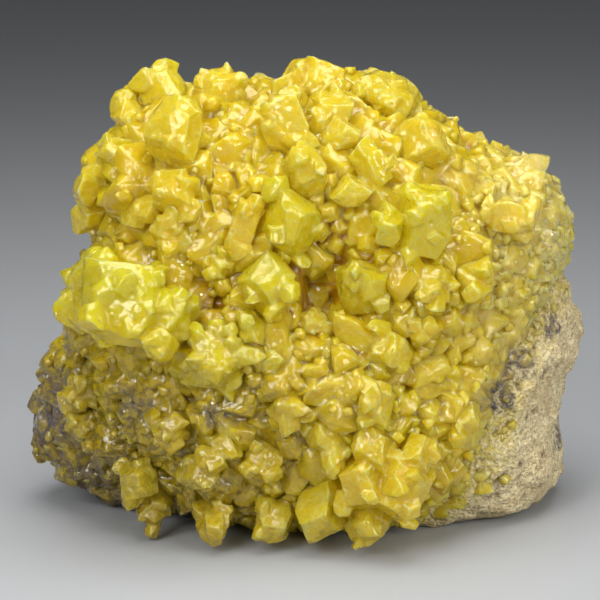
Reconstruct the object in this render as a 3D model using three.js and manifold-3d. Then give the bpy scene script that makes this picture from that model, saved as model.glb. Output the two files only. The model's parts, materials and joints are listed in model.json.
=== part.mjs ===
// Native sulfur on its matrix: a hand specimen of tan, porous rock whose front and top carry a crust of
// small intergrown sulfur crystals, with larger single crystals and clusters seated in that crust.
// Millimetres, +Z up. The show face looks along -Y, and the specimen stands on z = 0.
import * as THREE from "three";
import { ConvexGeometry } from "three/addons/geometries/ConvexGeometry.js";
import { ImprovedNoise } from "three/addons/math/ImprovedNoise.js";
import { mergeVertices } from "three/addons/utils/BufferGeometryUtils.js";
import Module from "manifold-3d";

const wasm = await Module();
wasm.setup();

const GAP = 0.3; // clearance between pieces that touch
const SEAT_DEPTH = 2.4; // how deep a crystal is rooted in the skin
const DETAIL = 6; // subdivisions of each face of the icosahedron that the bodies start from
const SQUARENESS = 8; // how sharply a body's sides meet: 2 would be an ellipsoid
const HEART = new THREE.Vector3(0, 0, 36); // both bodies are star-shaped around this point

// ---------------------------------------------------------------------------------------------
// Solids

function solidOf(geometry) {
  const bare = new THREE.BufferGeometry().setAttribute("position", geometry.getAttribute("position"));
  if (geometry.index) bare.setIndex(geometry.index);
  const merged = mergeVertices(bare, 1e-4);
  const mesh = new wasm.Mesh({
    numProp: 3,
    vertProperties: new Float32Array(merged.getAttribute("position").array),
    triVerts: new Uint32Array(merged.index.array),
  });
  return new wasm.Manifold(mesh);
}

function geometryOf(solid) {
  const mesh = solid.getMesh();
  const geometry = new THREE.BufferGeometry();
  geometry.setAttribute("position", new THREE.BufferAttribute(mesh.vertProperties, 3));
  geometry.setIndex(new THREE.BufferAttribute(mesh.triVerts, 1));
  return geometry;
}

function largestBody(solid) {
  return solid.decompose().reduce((best, body) => (body.volume() > best.volume() ? body : best));
}

// ---------------------------------------------------------------------------------------------
// Rock and crust: star-shaped bodies with an outline seen from the front and a depth each way, cut by
// soft planes, then swollen, dented and roughened

// A plane that cuts a body: the direction it faces and its distance from HEART.
const cut = (x, y, z, distance) => ({ normal: new THREE.Vector3(x, y, z).normalize(), distance });

// A swelling (height over 0) or a dent (under 0) around a point of the skin.
const swell = (x, y, z, width, height) => ({ at: new THREE.Vector3(x, y, z), width, height });

// Outlines are [x, z] points, counter-clockwise from the right.
const ROCK = {
  outline: [
    [43, 36],
    [43, 43],
    [39.5, 49],
    [34, 53],
    [24, 56],
    [17, 60],
    [8, 64],
    [-6, 64],
    [-20, 62.5],
    [-28, 57],
    [-30.5, 50],
    [-33, 42],
    [-37, 32],
    [-42.5, 21],
    [-51, 11],
    [-48, 3],
    [-40, -2],
    [-20, -4],
    [20, -4],
    [37, -1],
    [44, 4],
    [41.5, 15],
    [48, 29.5],
  ],
  front: 19,
  back: 27,
  grain: { size: 11, height: 1.5 },
  cuts: [
    cut(-0.6, 0.75, 0.15, 33),
    cut(0.6, 0.75, 0.2, 37),
    cut(-0.1, 0.6, 0.8, 35),
    cut(-0.2, 0.7, -0.7, 39),
    cut(0.74, -0.67, -0.06, 39),
    cut(-0.62, -0.78, -0.1, 34),
    cut(-0.35, -0.7, -0.62, 38),
    cut(0.1, -0.75, -0.66, 38),
    cut(0, -0.6, 0.8, 29.5),
    cut(0.65, -0.55, 0.5, 34),
  ],
  swells: [swell(41, -6, 16, 8, -2), swell(40, -12, 6, 7, 1.5), swell(22, 0, 62, 7, -3)],
};

const CRUST = {
  outline: [
    [43, 41],
    [42.5, 48],
    [36.5, 55],
    [28, 58],
    [21, 60.5],
    [17.5, 66.5],
    [8, 70.5],
    [-6, 68],
    [-21, 67],
    [-28.5, 64],
    [-33, 57],
    [-33, 50],
    [-32, 44],
    [-36, 37],
    [-37, 30],
    [-35, 19],
    [-29, 8],
    [-16, 1],
    [2, -1.5],
    [17, 0],
    [26, 9],
    [32, 23],
    [37, 33],
  ],
  front: 29,
  back: 13,
  grain: { size: 8, height: 1.3 },
  cuts: [
    cut(0, -0.9, 0.43, 31),
    cut(0.1, -0.72, 0.69, 36),
    cut(0, -0.8, -0.6, 40),
    cut(0.55, -0.83, 0.05, 34),
    cut(-0.6, -0.8, 0.05, 35),
  ],
  swells: [
    swell(4, -26, 40, 9, -8), // the hollow under the brow
    swell(8, -28, 27, 5, -3.5),
    swell(-4, -29, 14, 5, -3),
    swell(-12, -26, 43, 5, -3.5),
    swell(10, -24, 52, 8, 2.5), // the brow
    swell(-19, -20, 60, 8, 1.5),
    swell(-24, -24, 37, 7, 2),
    swell(12, -28, 13, 8, 2), // the foot
  ],
};

const noise = new ImprovedNoise();

function roughness(p, { size, height }) {
  const coarse = noise.noise(p.x / size, p.y / size, p.z / size);
  const fine = noise.noise((2.3 * p.x) / size, (2.3 * p.y) / size, (2.3 * p.z) / size);
  return height * (coarse + 0.45 * fine);
}

// How far an outline reaches from HEART in the direction of x and z, a unit vector.
function outlineReach(outline, x, z) {
  const around = outline.map(([px, pz]) => [px - HEART.x, pz - HEART.z]);
  const cross = (p, q) => p[0] * q[1] - p[1] * q[0];
  const i = around.findIndex((from, index) => {
    const to = around[(index + 1) % around.length];
    return cross(from, [x, z]) >= 0 && cross([x, z], to) > 0;
  });
  const from = around[i];
  const to = around[(i + 1) % around.length];
  const edge = [to[0] - from[0], to[1] - from[1]];
  return cross(from, edge) / cross([x, z], edge);
}

// The distance from HEART to a body's skin in a direction.
function reach(body, direction) {
  const across = Math.hypot(direction.x, direction.z);
  let crowding = (Math.abs(direction.y) / (direction.y < 0 ? body.front : body.back)) ** SQUARENESS;
  if (across > 0) {
    const sideways = outlineReach(body.outline, direction.x / across, direction.z / across);
    crowding += (across / sideways) ** SQUARENESS;
  }
  for (const { normal, distance } of body.cuts) {
    crowding += (Math.max(normal.dot(direction), 0) / distance) ** SQUARENESS;
  }
  let radius = crowding ** (-1 / SQUARENESS);
  const skin = direction.clone().multiplyScalar(radius).add(HEART);
  for (const { at, width, height } of body.swells) {
    radius += height * Math.exp(-skin.distanceToSquared(at) / (width * width));
  }
  return radius + roughness(skin, body.grain);
}

function bodySolid(body, margin = 0) {
  const geometry = new THREE.IcosahedronGeometry(1, DETAIL);
  const position = geometry.getAttribute("position");
  const p = new THREE.Vector3();
  for (let i = 0; i < position.count; i++) {
    p.fromBufferAttribute(position, i).normalize();
    // Rounded, so that the copies of a corner that the faces share stay one point.
    p.set(...p.toArray().map((v) => Math.round(v * 1e5) / 1e5)).normalize();
    p.multiplyScalar(reach(body, p) + margin).add(HEART);
    position.setXYZ(i, p.x, p.y, p.z);
  }
  return solidOf(geometry);
}

// ---------------------------------------------------------------------------------------------
// The skin that crystals are seated on

const skinReach = (direction) => Math.max(reach(ROCK, direction), reach(CRUST, direction));

function outside(p) {
  const arm = p.clone().sub(HEART);
  return arm.length() - skinReach(arm.normalize());
}

// Where a line that comes from the front, parallel to Y, meets the skin at x and z.
function frontSkin(x, z) {
  const FIRST = -48;
  const LAST = 10;
  const STEP = 0.25;
  const p = new THREE.Vector3(x, FIRST, z);
  while (p.y < LAST && outside(p) > 0) p.y += STEP;
  return p.y < LAST ? p : null;
}

// Where the ray from HEART towards a point meets the skin.
function skinTowards(x, y, z) {
  const direction = new THREE.Vector3(x, y, z).sub(HEART).normalize();
  return direction.clone().multiplyScalar(skinReach(direction)).add(HEART);
}

function skinNormal(p) {
  const STEP = 1.5;
  const slope = ["x", "y", "z"].map((axis) => {
    const ahead = p.clone();
    const behind = p.clone();
    ahead[axis] += STEP;
    behind[axis] -= STEP;
    return outside(ahead) - outside(behind);
  });
  return new THREE.Vector3(...slope).normalize();
}

// ---------------------------------------------------------------------------------------------
// Sulfur crystals: orthorhombic, bounded by flat faces with Miller indices

const AXES = { a: 0.814, b: 1, c: 1.905 };
const FORMS = {
  steepPyramid: [1, 1, 1],
  bluntPyramid: [1, 1, 3],
  base: [0, 0, 1],
  dome: [0, 1, 1],
  front: [1, 0, 0],
  side: [0, 1, 0],
};
// How far each form's faces lie from the middle, as a share of the half width.
const HABITS = {
  block: { steepPyramid: 1, bluntPyramid: 1.16, base: 1.1 },
  chip: { steepPyramid: 1, base: 1.15 },
  pyramid: { steepPyramid: 1, bluntPyramid: 1.45, base: 1.9, dome: 1.15 },
  table: { steepPyramid: 1.05, bluntPyramid: 1.02, base: 0.72 },
  brick: { steepPyramid: 1.18, bluntPyramid: 1.5, base: 1.25, front: 0.82, side: 0.95 },
};
const CHIP_WIDTH = 7.7; // narrower crystals have the simplest habit
const FILL = 0.9; // half width to central distance
const DISTORTION = 0.13; // real faces grow unevenly

// mulberry32
function randomFrom(seed) {
  let state = seed >>> 0;
  return () => {
    state = (state + 0x6d2b79f5) >>> 0;
    let t = state;
    t = Math.imul(t ^ (t >>> 15), t | 1);
    t ^= t + Math.imul(t ^ (t >>> 7), t | 61);
    return ((t ^ (t >>> 14)) >>> 0) / 4294967296;
  };
}

// The outward normals of every face of a form.
function facesOf([h, k, l]) {
  const signs = (index) => (index ? [1, -1] : [1]);
  const faces = [];
  for (const i of signs(h)) {
    for (const j of signs(k)) {
      for (const m of signs(l)) {
        faces.push(new THREE.Vector3((i * h) / AXES.a, (j * k) / AXES.b, (m * l) / AXES.c).normalize());
      }
    }
  }
  return faces;
}

// A half space holds the points with normal . p <= limit.
const halfSpace = (normal, point) => ({ normal, limit: normal.dot(point) });
const moved = ({ normal, limit }, by) => ({ normal, limit: limit + by });

function polyhedron(spaces) {
  const corners = [];
  const crossing = new THREE.Matrix3();
  for (let i = 0; i < spaces.length; i++) {
    for (let j = i + 1; j < spaces.length; j++) {
      for (let k = j + 1; k < spaces.length; k++) {
        const three = [spaces[i], spaces[j], spaces[k]];
        crossing.set(...three.flatMap(({ normal }) => normal.toArray()));
        if (Math.abs(crossing.determinant()) < 1e-3) continue;
        const corner = new THREE.Vector3(...three.map(({ limit }) => limit)).applyMatrix3(crossing.invert());
        if (spaces.every(({ normal, limit }) => normal.dot(corner) < limit + 1e-4)) corners.push(corner);
      }
    }
  }
  return corners.length < 4 ? null : solidOf(new ConvexGeometry(corners));
}

// A seated crystal as half spaces. lean turns its long axis to the right and upwards, in degrees, from
// halfway between the skin's normal and the viewer. spin turns it about that axis.
function crystalSpaces({ at, width, habit, long = 1, out = 0.12, lean, spin }, random) {
  const seat = (at.length === 3 ? skinTowards(...at) : frontSkin(...at)) ?? skinTowards(at[0], 0, at[1]);
  const normal = skinNormal(seat);
  const half = (FILL * width) / 2;
  const middle = seat.clone().addScaledVector(normal, out * width);
  const [right, up] = lean ?? [80 * (random() - 0.5), 80 * (random() - 0.5)];
  const turn = THREE.MathUtils.degToRad(spin ?? 180 * random());
  const upright = new THREE.Vector3(0, 0, 1);
  const axis = normal.clone().add(new THREE.Vector3(0, -0.6, 0)).normalize();
  axis.applyAxisAngle(upright, THREE.MathUtils.degToRad(right));
  axis.applyAxisAngle(new THREE.Vector3(-1, 0, 0), THREE.MathUtils.degToRad(up));
  const orientation = new THREE.Quaternion()
    .setFromUnitVectors(upright, axis)
    .multiply(new THREE.Quaternion().setFromAxisAngle(upright, turn));
  const shares = HABITS[habit ?? (width < CHIP_WIDTH ? "chip" : "block")];
  const spaces = [];
  for (const [form, share] of Object.entries(shares)) {
    for (const face of facesOf(FORMS[form])) {
      const stretch = 1 + (long - 1) * Math.abs(face.z);
      const distance = half * share * stretch * (1 + DISTORTION * (2 * random() - 1));
      const facing = face.applyQuaternion(orientation);
      spaces.push(halfSpace(facing, middle.clone().addScaledVector(facing, distance)));
    }
  }
  const inwards = normal.clone().negate();
  spaces.push(halfSpace(inwards, seat.clone().addScaledVector(inwards, SEAT_DEPTH)));
  return { middle, spaces };
}

// Where two crystals meet, the later one ends at the face of the earlier one that best parts them.
function partedBy(earlier, crystal) {
  const gapOf = ({ normal, limit }) => normal.dot(crystal.middle) - limit;
  const face = earlier.spaces.reduce((best, space) => (gapOf(space) > gapOf(best) ? space : best));
  return { normal: face.normal.clone().negate(), limit: -(face.limit + GAP) };
}

// ---------------------------------------------------------------------------------------------
// The larger crystals. at is [x, z] as seen from the front, or [x, y, z] on the rims. width is across the
// crystal, long stretches it along its axis, and crystals that share a name have grown into one piece.

const CRYSTALS = [
  // crown, along the top rim
  { name: "crown_crystal_1", at: [-22.5, -6, 69], width: 7, lean: [0, 35], spin: 20, out: 0.12 },
  { name: "crown_crystal_2", at: [-14.5, -8, 69.5], width: 6.5, lean: [10, 30], spin: 70, out: 0.12 },
  { name: "crown_cluster", at: [-1.4, -7, 71], width: 7, lean: [0, 20] },
  { name: "crown_cluster", at: [3.4, -8, 71], width: 6.4, habit: "table" },
  { name: "crown_crystal_3", at: [13, -9, 69.5], width: 9.5, habit: "table", lean: [15, 30], long: 0.9 },
  { name: "crown_crystal_4", at: [11, 67], width: 7.5, lean: [-20, 10] },
  { name: "crown_crystal_5", at: [-27.5, -8, 65.5], width: 5.5 },
  // brow, the upper part of the front
  { name: "brow_crystal_1", at: [-19.5, 62], width: 9.5, lean: [18, 30], spin: 30, out: 0.28 },
  { name: "brow_cluster_left", at: [-19, 55], width: 7 },
  { name: "brow_cluster_left", at: [-23.5, 51.8], width: 5.5, habit: "table", lean: [-20, 25] },
  {
    name: "brow_crystal_2",
    at: [-19.8, 49.8],
    width: 5,
    habit: "brick",
    long: 1.25,
    lean: [0, 75],
    spin: 10,
    out: 0.35,
  },
  {
    name: "brow_crystal_3",
    at: [-9.9, 50.6],
    width: 4.8,
    habit: "brick",
    long: 1.5,
    lean: [12, 82],
    spin: 5,
    out: 0.4,
  },
  { name: "brow_crystal_4", at: [-3.4, 63.8], width: 8.6, long: 1.1, lean: [-8, 60], spin: 40, out: 0.2 },
  {
    name: "brow_crystal_5",
    at: [-0.2, 57.8],
    width: 7.2,
    habit: "brick",
    lean: [5, 40],
    spin: 25,
    out: 0.25,
  },
  { name: "brow_crystal_6", at: [-2, 50.8], width: 9.2, lean: [0, -12], spin: 15, out: 0.22 },
  { name: "brow_cluster_top", at: [3.6, 65.4], width: 6.4 },
  { name: "brow_cluster_top", at: [5.4, 62.4], width: 5.8, habit: "pyramid", lean: [20, -10] },
  { name: "brow_crystal_7", at: [17, 60.8], width: 7.6, lean: [10, 10] },
  {
    name: "tilted_cluster",
    at: [9.8, 58.4],
    width: 4.9,
    habit: "brick",
    long: 1.5,
    lean: [-30, 55],
    spin: 40,
    out: 0.4,
  },
  { name: "tilted_cluster", at: [6.8, 55], width: 5.4 },
  {
    name: "brow_cluster_right",
    at: [16.2, 51.2],
    width: 8.8,
    habit: "brick",
    long: 1.15,
    lean: [-8, 70],
    spin: 20,
    out: 0.3,
  },
  {
    name: "brow_cluster_right",
    at: [12.2, 50.1],
    width: 4.8,
    habit: "brick",
    lean: [10, 60],
    spin: 0,
    out: 0.3,
  },
  // left flank
  { name: "flank_cluster", at: [-33.2, -12, 54.5], width: 6.6, habit: "table", lean: [-35, 10], out: 0.05 },
  { name: "flank_cluster", at: [-33, -12, 50], width: 5, out: 0.1 },
  { name: "flank_crystal", at: [-28, 59.5], width: 5 },
  { name: "lemon_cluster", at: [-25, 38.6], width: 13.5, lean: [14, 25], spin: 35, out: 0.2 },
  {
    name: "lemon_cluster",
    at: [-30.5, 38],
    width: 10,
    habit: "table",
    lean: [-25, 25],
    spin: 10,
    out: 0.2,
  },
  {
    name: "lemon_cluster",
    at: [-20.5, 37],
    width: 7.5,
    habit: "table",
    lean: [30, 10],
    spin: 60,
    out: 0.1,
  },
  // middle, in and around the hollow
  { name: "hollow_crystal_1", at: [-5.7, 42.3], width: 9, lean: [8, 20], spin: 10, out: 0.35 },
  { name: "hollow_crystal_2", at: [-12, 46], width: 6, habit: "table", lean: [0, 45] },
  {
    name: "hollow_crystal_3",
    at: [9.4, 41.2],
    width: 8.2,
    habit: "pyramid",
    long: 0.9,
    lean: [5, 40],
    spin: 45,
    out: 0.35,
  },
  { name: "hollow_crystal_4", at: [17.8, 41.5], width: 7.2, lean: [-10, 15], spin: 20, out: 0.2 },
  { name: "hollow_crystal_5", at: [-0.6, 34.4], width: 5 },
  { name: "hollow_crystal_6", at: [15.6, 36.4], width: 5.6 },
  {
    name: "cube_crystal",
    at: [-8.8, 35.4],
    width: 4.2,
    habit: "brick",
    long: 0.8,
    lean: [20, 30],
    spin: 20,
    out: 0.45,
  },
  { name: "leafy_cluster", at: [-13.2, 32.4], width: 8, habit: "table", lean: [20, 25], out: 0.2 },
  { name: "leafy_cluster", at: [-16.4, 29.8], width: 6, habit: "table", lean: [-20, 0], out: 0.2 },
  { name: "leafy_cluster", at: [-12, 28.8], width: 5.5, habit: "table", lean: [15, -20], out: 0.2 },
  { name: "glassy_crystal", at: [-5.6, 29.6], width: 5.2, lean: [0, 45], spin: 30, out: 0.2 },
  { name: "striped_cluster", at: [3.6, 28.8], width: 6.8, habit: "table", lean: [40, 10], out: 0.2 },
  { name: "striped_cluster", at: [6.2, 26.4], width: 6, habit: "table", lean: [35, -10], out: 0.2 },
  { name: "spark_crystal", at: [12.9, 32.2], width: 6.8, lean: [-10, 20], out: 0.15 },
  // right shoulder, where the crust turns fine
  { name: "shoulder_crystal_1", at: [30, 50.4], width: 6.4 },
  { name: "shoulder_crystal_2", at: [24.4, 41.8], width: 6.2 },
  { name: "shoulder_crystal_3", at: [23.6, 20.4], width: 5 },
  // lower slope
  { name: "slope_crystal_1", at: [-4.1, 24.8], width: 6.2, lean: [10, 15] },
  { name: "slope_crystal_2", at: [9.9, 23.8], width: 7.8, lean: [-5, 25], spin: 15, out: 0.25 },
  { name: "slope_cluster", at: [2.4, 19.6], width: 5.6, out: 0.2 },
  { name: "slope_cluster", at: [4.6, 16.6], width: 5, out: 0.2 },
  { name: "slope_crystal_3", at: [-20.3, 20], width: 4.6, out: 0.2 },
  { name: "slope_crystal_4", at: [-7.3, 15.4], width: 5.6 },
  { name: "matrix_crystal_1", at: [-33.4, 22.6], width: 5.6, out: 0.2 },
  { name: "matrix_crystal_2", at: [-33.6, 17.2], width: 4.2, out: 0.3 },
  // foot, along the lower edge of the front
  { name: "foot_cluster", at: [7.4, 12.6], width: 8.6, lean: [-15, 10], out: 0.2 },
  { name: "foot_cluster", at: [13.4, 11.8], width: 9.4, lean: [10, 5], spin: 30, out: 0.2 },
  { name: "foot_cluster", at: [9.6, 17.2], width: 6.8, lean: [0, 35], out: 0.15 },
  { name: "foot_cluster", at: [16.4, 16.4], width: 6, lean: [25, 25], out: 0.15 },
  { name: "foot_crystal_1", at: [-25, 11.2], width: 6, out: 0.2 },
  { name: "foot_crystal_2", at: [-22.5, 6.6], width: 5, habit: "brick", lean: [-5, -10], out: 0.3 },
  { name: "foot_cluster_left", at: [-15.8, 13.4], width: 5.2, out: 0.3 },
  { name: "foot_cluster_left", at: [-13.2, 15.6], width: 4.4, out: 0.3 },
  { name: "foot_crystal_3", at: [-14, 5.4], width: 5, habit: "brick", lean: [10, -20], out: 0.25 },
  { name: "foot_crystal_4", at: [-4.8, 5.8], width: 6.4, lean: [0, -15], out: 0.2 },
  { name: "foot_crystal_5", at: [2, 7.6], width: 7.6, lean: [0, -5], out: 0.15 },
  { name: "foot_crystal_6", at: [9.4, 7.2], width: 7.2, habit: "pyramid", lean: [0, -30], out: 0.15 },
];

// Every crystal with its solid and the room it needs, each parted from the earlier ones it would run into.
function seatedCrystals() {
  const seated = [];
  CRYSTALS.forEach((plan, index) => {
    const crystal = { name: plan.name, ...crystalSpaces(plan, randomFrom(index + 1)) };
    crystal.spaces.push(halfSpace(new THREE.Vector3(0, 0, -1), new THREE.Vector3(0, 0, GAP)));
    let solid = polyhedron(crystal.spaces);
    for (const earlier of seated) {
      const near = earlier.middle.distanceTo(crystal.middle) < earlier.width + plan.width;
      if (!near || earlier.name === crystal.name) continue;
      if (earlier.room.intersect(solid).volume() === 0) continue;
      crystal.spaces.push(partedBy(earlier, crystal));
      solid = polyhedron(crystal.spaces);
    }
    const room = polyhedron(crystal.spaces.map((space) => moved(space, GAP)));
    seated.push({ ...crystal, width: plan.width, solid, room });
  });
  return seated;
}

function joinedByName(seated) {
  const pieces = new Map();
  for (const { name, solid } of seated) {
    pieces.set(name, pieces.has(name) ? pieces.get(name).add(solid) : solid);
  }
  return pieces;
}

// ---------------------------------------------------------------------------------------------
// Assembly

const ROCK_LOOK = new THREE.MeshStandardMaterial({ color: 0xb3a078, roughness: 0.95, metalness: 0 });
const CRUST_LOOK = new THREE.MeshStandardMaterial({ color: 0xc9ac1e, roughness: 0.55, metalness: 0 });
const CRYSTAL_LOOK = new THREE.MeshStandardMaterial({ color: 0xe0cb2c, roughness: 0.25, metalness: 0 });

function meshOf(name, solid, material) {
  const geometry = geometryOf(solid);
  geometry.computeBoundingBox();
  const middle = geometry.boundingBox.getCenter(new THREE.Vector3());
  geometry.translate(-middle.x, -middle.y, -middle.z);
  const mesh = new THREE.Mesh(geometry, material);
  mesh.name = name;
  mesh.position.copy(middle);
  return mesh;
}

function specimen() {
  const seated = seatedCrystals();
  const WIDE = 200;
  const below = solidOf(new THREE.BoxGeometry(WIDE, WIDE, WIDE).translate(0, 0, -WIDE / 2));
  const rockBody = bodySolid(ROCK);
  const rockRoom = bodySolid(ROCK, GAP);
  let rock = rockBody.subtract(below);
  let crust = bodySolid(CRUST).subtract(rockRoom).subtract(below.translate([0, 0, GAP]));
  for (const { room } of seated) {
    rock = rock.subtract(room);
    crust = crust.subtract(room);
  }
  const group = new THREE.Group();
  group.add(meshOf("matrix_rock", largestBody(rock), ROCK_LOOK));
  group.add(meshOf("sulfur_crust", largestBody(crust), CRUST_LOOK));
  for (const [name, solid] of joinedByName(seated)) group.add(meshOf(name, solid, CRYSTAL_LOOK));
  return group;
}

// The frame's origin is the middle of the specimen's footprint, on the surface it stands on.
function centred(group) {
  const box = new THREE.Box3().setFromObject(group);
  const middle = box.getCenter(new THREE.Vector3());
  for (const mesh of group.children) mesh.position.sub(new THREE.Vector3(middle.x, middle.y, box.min.z));
  return group;
}

export default centred(specimen());
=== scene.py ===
"""The looks of a native sulfur specimen: porous rock, a crust of small crystals, larger crystals.

Lengths are in metres in the CAD model's frame: +Z up, the show face looking along -Y.
"""

import itertools
import json
import math

import bmesh
import bpy
import numpy as np
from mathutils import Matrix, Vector
from mathutils.bvhtree import BVHTree
from mathutils.kdtree import KDTree


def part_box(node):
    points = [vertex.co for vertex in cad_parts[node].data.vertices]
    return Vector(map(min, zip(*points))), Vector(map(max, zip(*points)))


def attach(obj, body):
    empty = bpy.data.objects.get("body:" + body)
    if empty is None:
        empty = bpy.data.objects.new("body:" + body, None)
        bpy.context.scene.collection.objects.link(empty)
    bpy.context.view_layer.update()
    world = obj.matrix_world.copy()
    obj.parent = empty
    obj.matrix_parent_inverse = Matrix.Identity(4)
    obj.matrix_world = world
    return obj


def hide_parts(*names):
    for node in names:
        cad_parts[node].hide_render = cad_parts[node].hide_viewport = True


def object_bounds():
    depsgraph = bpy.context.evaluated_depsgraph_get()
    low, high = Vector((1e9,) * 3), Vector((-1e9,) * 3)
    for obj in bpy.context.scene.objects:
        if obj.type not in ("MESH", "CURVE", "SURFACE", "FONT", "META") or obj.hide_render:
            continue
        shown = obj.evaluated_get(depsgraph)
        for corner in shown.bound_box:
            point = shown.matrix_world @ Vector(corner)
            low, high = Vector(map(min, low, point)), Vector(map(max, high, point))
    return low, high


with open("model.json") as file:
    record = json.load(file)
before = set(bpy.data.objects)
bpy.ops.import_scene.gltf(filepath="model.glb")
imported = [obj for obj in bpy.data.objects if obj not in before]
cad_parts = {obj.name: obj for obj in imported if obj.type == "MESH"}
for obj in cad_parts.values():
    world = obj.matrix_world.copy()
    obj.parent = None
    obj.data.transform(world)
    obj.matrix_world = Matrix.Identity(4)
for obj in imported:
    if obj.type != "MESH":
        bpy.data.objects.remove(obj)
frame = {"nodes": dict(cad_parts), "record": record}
CAD_LOW, CAD_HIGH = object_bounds()
SIZE = CAD_HIGH - CAD_LOW

MM = 0.001
ROCK = "matrix_rock"
CRUST = "sulfur_crust"
CLEAR_NODES = {
    row["node"] for row in frame["record"]["subparts"] if row["material_slot"] == "clear_sulfur"
}
CRYSTAL_NODES = sorted(set(frame["nodes"]) - {ROCK, CRUST})
HEART = Vector((0, 0.06 * SIZE.y, 0.49 * SIZE.z))  # every line out of it leaves rock and crust once
CORE = np.array(HEART)
RNG = np.random.default_rng(11)


# ---------------------------------------------------------------------------------------------
# Noise


HASH_PRIMES = np.array([73856093, 19349663, 83492791])
SEED_PRIME = 2654435761
WORD = 0xFFFFFFFF


def hashed(cells, seed):
    """A repeatable 32-bit number for each row of three whole numbers."""
    mixed = cells.astype(np.int64) * HASH_PRIMES + seed * SEED_PRIME
    h = (mixed[:, 0] ^ mixed[:, 1] ^ mixed[:, 2]) & WORD
    h = ((h ^ (h >> 15)) * 2246822519) & WORD
    h = ((h ^ (h >> 13)) * 3266489917) & WORD
    return h ^ (h >> 16)


def shares_hashed(cells, seed):
    """The same as a share, 0 to 1."""
    return hashed(cells, seed) / 2**32


GRADIENTS = np.array(
    [step for step in itertools.product((-1, 0, 1), repeat=3) if sum(map(abs, step)) == 2]
)


def swell(points, size, seed=0):
    """Smooth noise, about -1 to 1, whose features are size across. Each seed is another pattern."""
    scaled = points / size
    cell = np.floor(scaled)
    inside = scaled - cell
    ease = inside**3 * (inside * (inside * 6 - 15) + 10)
    total = np.zeros(len(points))
    for corner in itertools.product((0, 1), repeat=3):
        corner = np.array(corner)
        slope = GRADIENTS[hashed(cell + corner, seed) % len(GRADIENTS)]
        weight = np.prod(np.where(corner, ease, 1 - ease), axis=1)
        total += weight * np.sum(slope * (inside - corner), axis=1)
    return total


def pebbles(points, size, seed=0):
    """Distance to the nearest of a set of scattered points, as a share of size."""
    scaled = points / size
    cell = np.floor(scaled)
    nearest = np.full(len(points), 9.0)
    for step in itertools.product((-1, 0, 1), repeat=3):
        near = cell + np.array(step)
        spot = np.stack([shares_hashed(near, seed + i) for i in (1, 2, 3)], axis=1)
        nearest = np.minimum(nearest, np.linalg.norm(near + spot - scaled, axis=1))
    return nearest


def ramp(x, low, high):
    """0 below low, 1 above high, smooth between."""
    t = np.clip((x - low) / (high - low), 0, 1)
    return t * t * (3 - 2 * t)


# ---------------------------------------------------------------------------------------------
# Meshes


def arrays_of(mesh):
    """A mesh's points and triangles."""
    points = np.empty(len(mesh.vertices) * 3)
    mesh.vertices.foreach_get("co", points)
    mesh.calc_loop_triangles()
    triangles = np.empty(len(mesh.loop_triangles) * 3, int)
    mesh.loop_triangles.foreach_get("vertices", triangles)
    return points.reshape(-1, 3), triangles.reshape(-1, 3)


def tree_of(points, faces):
    return BVHTree.FromPolygons(points.tolist(), [list(map(int, f)) for f in faces])


def triangles_of(faces):
    return faces.ravel(), np.full(len(faces), 3)


def make_object(name, points, loops, counts, material, attributes=None):
    """An object from flat arrays: every face's corners in one list, and how many each face has."""
    mesh = bpy.data.meshes.new(name)
    mesh.vertices.add(len(points))
    mesh.vertices.foreach_set("co", np.asarray(points, np.float32).ravel())
    mesh.loops.add(len(loops))
    mesh.loops.foreach_set("vertex_index", np.asarray(loops, np.int32))
    mesh.polygons.add(len(counts))
    starts = np.concatenate([[0], np.cumsum(counts)[:-1]])
    mesh.polygons.foreach_set("loop_start", starts.astype(np.int32))
    mesh.update(calc_edges=True)
    for key, values in (attributes or {}).items():
        layer = mesh.attributes.new(key, "FLOAT", "POINT" if len(values) == len(points) else "FACE")
        layer.data.foreach_set("value", np.asarray(values, np.float32))
    mesh.materials.append(material)
    made = bpy.data.objects.new(name, mesh)
    bpy.context.scene.collection.objects.link(made)
    return made


def welded(mesh):
    """The mesh as flat arrays, its split corners welded."""
    points, triangles = arrays_of(mesh)
    rounded = np.round(points / MM, 3)
    _, first, same = np.unique(rounded, axis=0, return_index=True, return_inverse=True)
    triangles = same.reshape(-1)[triangles]
    a, b, c = triangles.T
    triangles = triangles[(a != b) & (b != c) & (c != a)]
    return points[first], *triangles_of(triangles)


def smooth(piece):
    faces = piece.data.polygons
    faces.foreach_set("use_smooth", np.ones(len(faces), bool))


def stand_in(piece, node):
    """The piece takes the CAD node's place."""
    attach(piece, "root")
    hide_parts(node)


# ---------------------------------------------------------------------------------------------
# The skins of rock and crust, as distances from HEART over a sphere of directions


def icosphere(level):
    shape = bmesh.new()
    bmesh.ops.create_icosphere(shape, subdivisions=level, radius=1)
    return shape


def directions_of(shape):
    points = np.array([v.co for v in shape.verts])
    return points / np.linalg.norm(points, axis=1, keepdims=True)


def directions_and_faces(sphere):
    directions = directions_of(sphere)
    faces = np.array([[v.index for v in f.verts] for f in sphere.faces])
    sphere.free()
    return directions, faces


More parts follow.
